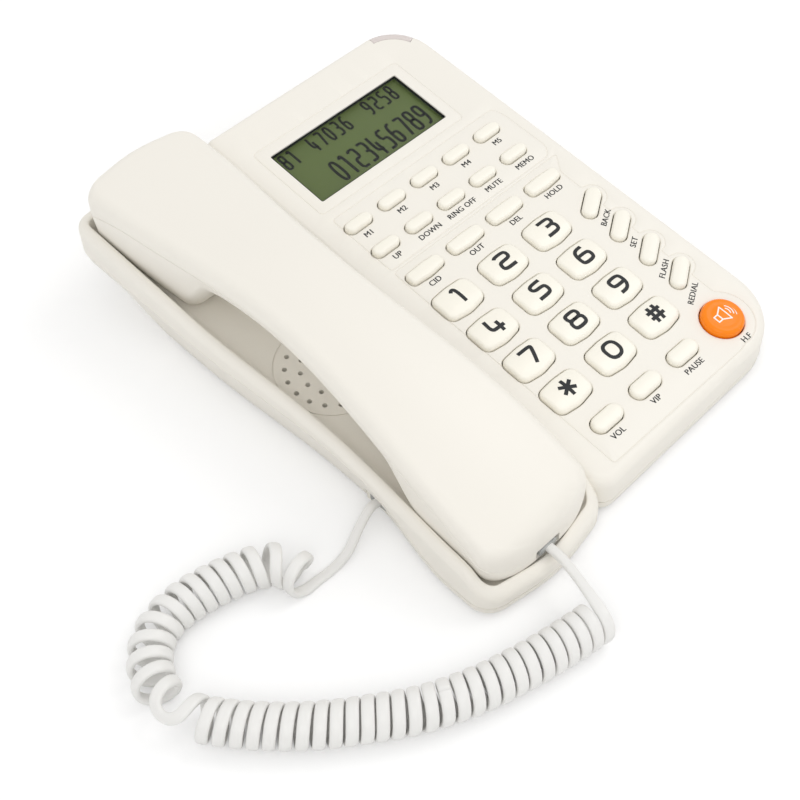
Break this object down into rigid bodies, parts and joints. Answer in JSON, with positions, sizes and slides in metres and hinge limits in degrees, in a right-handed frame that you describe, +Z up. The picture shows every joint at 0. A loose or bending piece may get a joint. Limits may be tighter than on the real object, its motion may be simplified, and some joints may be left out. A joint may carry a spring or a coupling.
{
  "type": "corded desk telephone",
  "caption": "Corded desk telephone: sloping keypad base with a small display, side cradle with a lift-off handset, travelling keys and a curly cord",
  "frame": {"origin": "on the desk, at the middle of the base (the handset's cord is left out of the middle)", "axes": "+X to the user's right (cradle on the left, keypad on the right), +Y from the user to the back, +Z up"},
  "size_m": [0.2524, 0.2383, 0.0563],
  "materials": {
    "shell": "moulded ABS, fine matte texture, warm white",
    "key": "moulded key caps, satin, cream",
    "orange_key": "moulded round key, glossy orange",
    "window": "clear acrylic window",
    "lcd": "display glass with a green-grey ground",
    "lens": "clear acrylic lamp lens",
    "board": "glass-fibre circuit board, green lacquer",
    "silicone": "silicone keypad mat",
    "steel": "zinc-plated steel",
    "aluminium": "drawn aluminium can",
    "dark_plastic": "moulded nylon, black",
    "rubber": "rubber foot, grey",
    "cord": "soft PVC cord, cool white",
    "clear_plug": "clear polycarbonate plug"
  },
  "bodies": {
    "base": {"base_upper_shell": "shell", "base_lower_shell": "shell", "display_window": "window", "display_module": "lcd", "message_lamp_lens": "lens", "main_board": "board", "keypad_mat": "silicone", "loudspeaker": "steel", "base_cord_jack": "dark_plastic", "line_jack": "dark_plastic", "rubber_feet": "rubber", "base_screws": "steel", "battery_door": "shell", "hook_switch": "dark_plastic", "cord_lead_base": "cord", "cord_coil": "cord", "cord_plug_base": "clear_plug"},
    "handset": {"handset_upper_shell": "shell", "handset_lower_shell": "shell", "receiver_capsule": "steel", "microphone_capsule": "aluminium", "handset_jack": "dark_plastic", "handset_weight": "steel", "cord_lead_handset": "cord", "cord_plug_handset": "clear_plug"},
    "hook": {"hook_plunger": "key"},
    "button_1": {"key_1": "key"},
    "button_2": {"key_2": "key"},
    "button_3": {"key_3": "key"},
    "button_4": {"key_4": "key"},
    "button_5": {"key_5": "key"},
    "button_6": {"key_6": "key"},
    "button_7": {"key_7": "key"},
    "button_8": {"key_8": "key"},
    "button_9": {"key_9": "key"},
    "button_star": {"key_star": "key"},
    "button_0": {"key_0": "key"},
    "button_hash": {"key_hash": "key"},
    "button_volume": {"key_volume": "key"},
    "button_vip": {"key_vip": "key"},
    "button_pause": {"key_pause": "key"},
    "button_cid": {"key_cid": "key"},
    "button_out": {"key_out": "key"},
    "button_delete": {"key_delete": "key"},
    "button_hold": {"key_hold": "key"},
    "button_up": {"key_up": "key"},
    "button_down": {"key_down": "key"},
    "button_ring_off": {"key_ring_off": "key"},
    "button_mute": {"key_mute": "key"},
    "button_memo": {"key_memo": "key"},
    "button_m1": {"key_m1": "key"},
    "button_m2": {"key_m2": "key"},
    "button_m3": {"key_m3": "key"},
    "button_m4": {"key_m4": "key"},
    "button_m5": {"key_m5": "key"},
    "button_redial": {"key_redial": "key"},
    "button_flash": {"key_flash": "key"},
    "button_set": {"key_set": "key"},
    "button_back": {"key_back": "key"},
    "button_speaker": {"key_speaker": "orange_key"}
  },
  "joints": [
    {"name": "handset_lift", "type": "slide", "parent": "base", "child": "handset", "axis": [0, 0, 1], "range_m": [0, 0.08]},
    {"name": "hook_travel", "type": "slide", "parent": "base", "child": "hook", "axis": [0, 0, 1], "range_m": [0, 0.004]},
    {"name": "button_1_press", "type": "slide", "parent": "base", "child": "button_1", "axis": [0, 0.1564, -0.9877], "range_m": [0, 0.0012], "stiffness_N_per_m": 300},
    {"name": "button_2_press", "type": "slide", "parent": "base", "child": "button_2", "axis": [0, 0.1564, -0.9877], "range_m": [0, 0.0012], "stiffness_N_per_m": 300},
    {"name": "button_3_press", "type": "slide", "parent": "base", "child": "button_3", "axis": [0, 0.1564, -0.9877], "range_m": [0, 0.0012], "stiffness_N_per_m": 300},
    {"name": "button_4_press", "type": "slide", "parent": "base", "child": "button_4", "axis": [0, 0.1564, -0.9877], "range_m": [0, 0.0012], "stiffness_N_per_m": 300},
    {"name": "button_5_press", "type": "slide", "parent": "base", "child": "button_5", "axis": [0, 0.1564, -0.9877], "range_m": [0, 0.0012], "stiffness_N_per_m": 300},
    {"name": "button_6_press", "type": "slide", "parent": "base", "child": "button_6", "axis": [0, 0.1564, -0.9877], "range_m": [0, 0.0012], "stiffness_N_per_m": 300},
    {"name": "button_7_press", "type": "slide", "parent": "base", "child": "button_7", "axis": [0, 0.1564, -0.9877], "range_m": [0, 0.0012], "stiffness_N_per_m": 300},
    {"name": "button_8_press", "type": "slide", "parent": "base", "child": "button_8", "axis": [0, 0.1564, -0.9877], "range_m": [0, 0.0012], "stiffness_N_per_m": 300},
    {"name": "button_9_press", "type": "slide", "parent": "base", "child": "button_9", "axis": [0, 0.1564, -0.9877], "range_m": [0, 0.0012], "stiffness_N_per_m": 300},
    {"name": "button_star_press", "type": "slide", "parent": "base", "child": "button_star", "axis": [0, 0.1564, -0.9877], "range_m": [0, 0.0012], "stiffness_N_per_m": 300},
    {"name": "button_0_press", "type": "slide", "parent": "base", "child": "button_0", "axis": [0, 0.1564, -0.9877], "range_m": [0, 0.0012], "stiffness_N_per_m": 300},
    {"name": "button_hash_press", "type": "slide", "parent": "base", "child": "button_hash", "axis": [0, 0.1564, -0.9877], "range_m": [0, 0.0012], "stiffness_N_per_m": 300},
    {"name": "button_volume_press", "type": "slide", "parent": "base", "child": "button_volume", "axis": [0, 0.1564, -0.9877], "range_m": [0, 0.0012], "stiffness_N_per_m": 300},
    {"name": "button_vip_press", "type": "slide", "parent": "base", "child": "button_vip", "axis": [0, 0.1564, -0.9877], "range_m": [0, 0.0012], "stiffness_N_per_m": 300},
    {"name": "button_pause_press", "type": "slide", "parent": "base", "child": "button_pause", "axis": [0, 0.1564, -0.9877], "range_m": [0, 0.0012], "stiffness_N_per_m": 300},
    {"name": "button_cid_press", "type": "slide", "parent": "base", "child": "button_cid", "axis": [0, 0.1564, -0.9877], "range_m": [0, 0.0012], "stiffness_N_per_m": 300},
    {"name": "button_out_press", "type": "slide", "parent": "base", "child": "button_out", "axis": [0, 0.1564, -0.9877], "range_m": [0, 0.0012], "stiffness_N_per_m": 300},
    {"name": "button_delete_press", "type": "slide", "parent": "base", "child": "button_delete", "axis": [0, 0.1564, -0.9877], "range_m": [0, 0.0012], "stiffness_N_per_m": 300},
    {"name": "button_hold_press", "type": "slide", "parent": "base", "child": "button_hold", "axis": [0, 0.1564, -0.9877], "range_m": [0, 0.0012], "stiffness_N_per_m": 300},
    {"name": "button_up_press", "type": "slide", "parent": "base", "child": "button_up", "axis": [0, 0.1564, -0.9877], "range_m": [0, 0.0012], "stiffness_N_per_m": 300},
    {"name": "button_down_press", "type": "slide", "parent": "base", "child": "button_down", "axis": [0, 0.1564, -0.9877], "range_m": [0, 0.0012], "stiffness_N_per_m": 300},
    {"name": "button_ring_off_press", "type": "slide", "parent": "base", "child": "button_ring_off", "axis": [0, 0.1564, -0.9877], "range_m": [0, 0.0012], "stiffness_N_per_m": 300},
    {"name": "button_mute_press", "type": "slide", "parent": "base", "child": "button_mute", "axis": [0, 0.1564, -0.9877], "range_m": [0, 0.0012], "stiffness_N_per_m": 300},
    {"name": "button_memo_press", "type": "slide", "parent": "base", "child": "button_memo", "axis": [0, 0.1564, -0.9877], "range_m": [0, 0.0012], "stiffness_N_per_m": 300},
    {"name": "button_m1_press", "type": "slide", "parent": "base", "child": "button_m1", "axis": [0, 0.1564, -0.9877], "range_m": [0, 0.0012], "stiffness_N_per_m": 300},
    {"name": "button_m2_press", "type": "slide", "parent": "base", "child": "button_m2", "axis": [0, 0.1564, -0.9877], "range_m": [0, 0.0012], "stiffness_N_per_m": 300},
    {"name": "button_m3_press", "type": "slide", "parent": "base", "child": "button_m3", "axis": [0, 0.1564, -0.9877], "range_m": [0, 0.0012], "stiffness_N_per_m": 300},
    {"name": "button_m4_press", "type": "slide", "parent": "base", "child": "button_m4", "axis": [0, 0.1564, -0.9877], "range_m": [0, 0.0012], "stiffness_N_per_m": 300},
    {"name": "button_m5_press", "type": "slide", "parent": "base", "child": "button_m5", "axis": [0, 0.1564, -0.9877], "range_m": [0, 0.0012], "stiffness_N_per_m": 300},
    {"name": "button_redial_press", "type": "slide", "parent": "base", "child": "button_redial", "axis": [0, 0.1564, -0.9877], "range_m": [0, 0.0012], "stiffness_N_per_m": 300},
    {"name": "button_flash_press", "type": "slide", "parent": "base", "child": "button_flash", "axis": [0, 0.1564, -0.9877], "range_m": [0, 0.0012], "stiffness_N_per_m": 300},
    {"name": "button_set_press", "type": "slide", "parent": "base", "child": "button_set", "axis": [0, 0.1564, -0.9877], "range_m": [0, 0.0012], "stiffness_N_per_m": 300},
    {"name": "button_back_press", "type": "slide", "parent": "base", "child": "button_back", "axis": [0, 0.1564, -0.9877], "range_m": [0, 0.0012], "stiffness_N_per_m": 300},
    {"name": "button_speaker_press", "type": "slide", "parent": "base", "child": "button_speaker", "axis": [0, 0.1564, -0.9877], "range_m": [0, 0.0012], "stiffness_N_per_m": 300}
  ],
  "couplings": [
    {"joint": "hook_travel", "follows": "handset_lift", "ratio": 0.05}
  ]
}
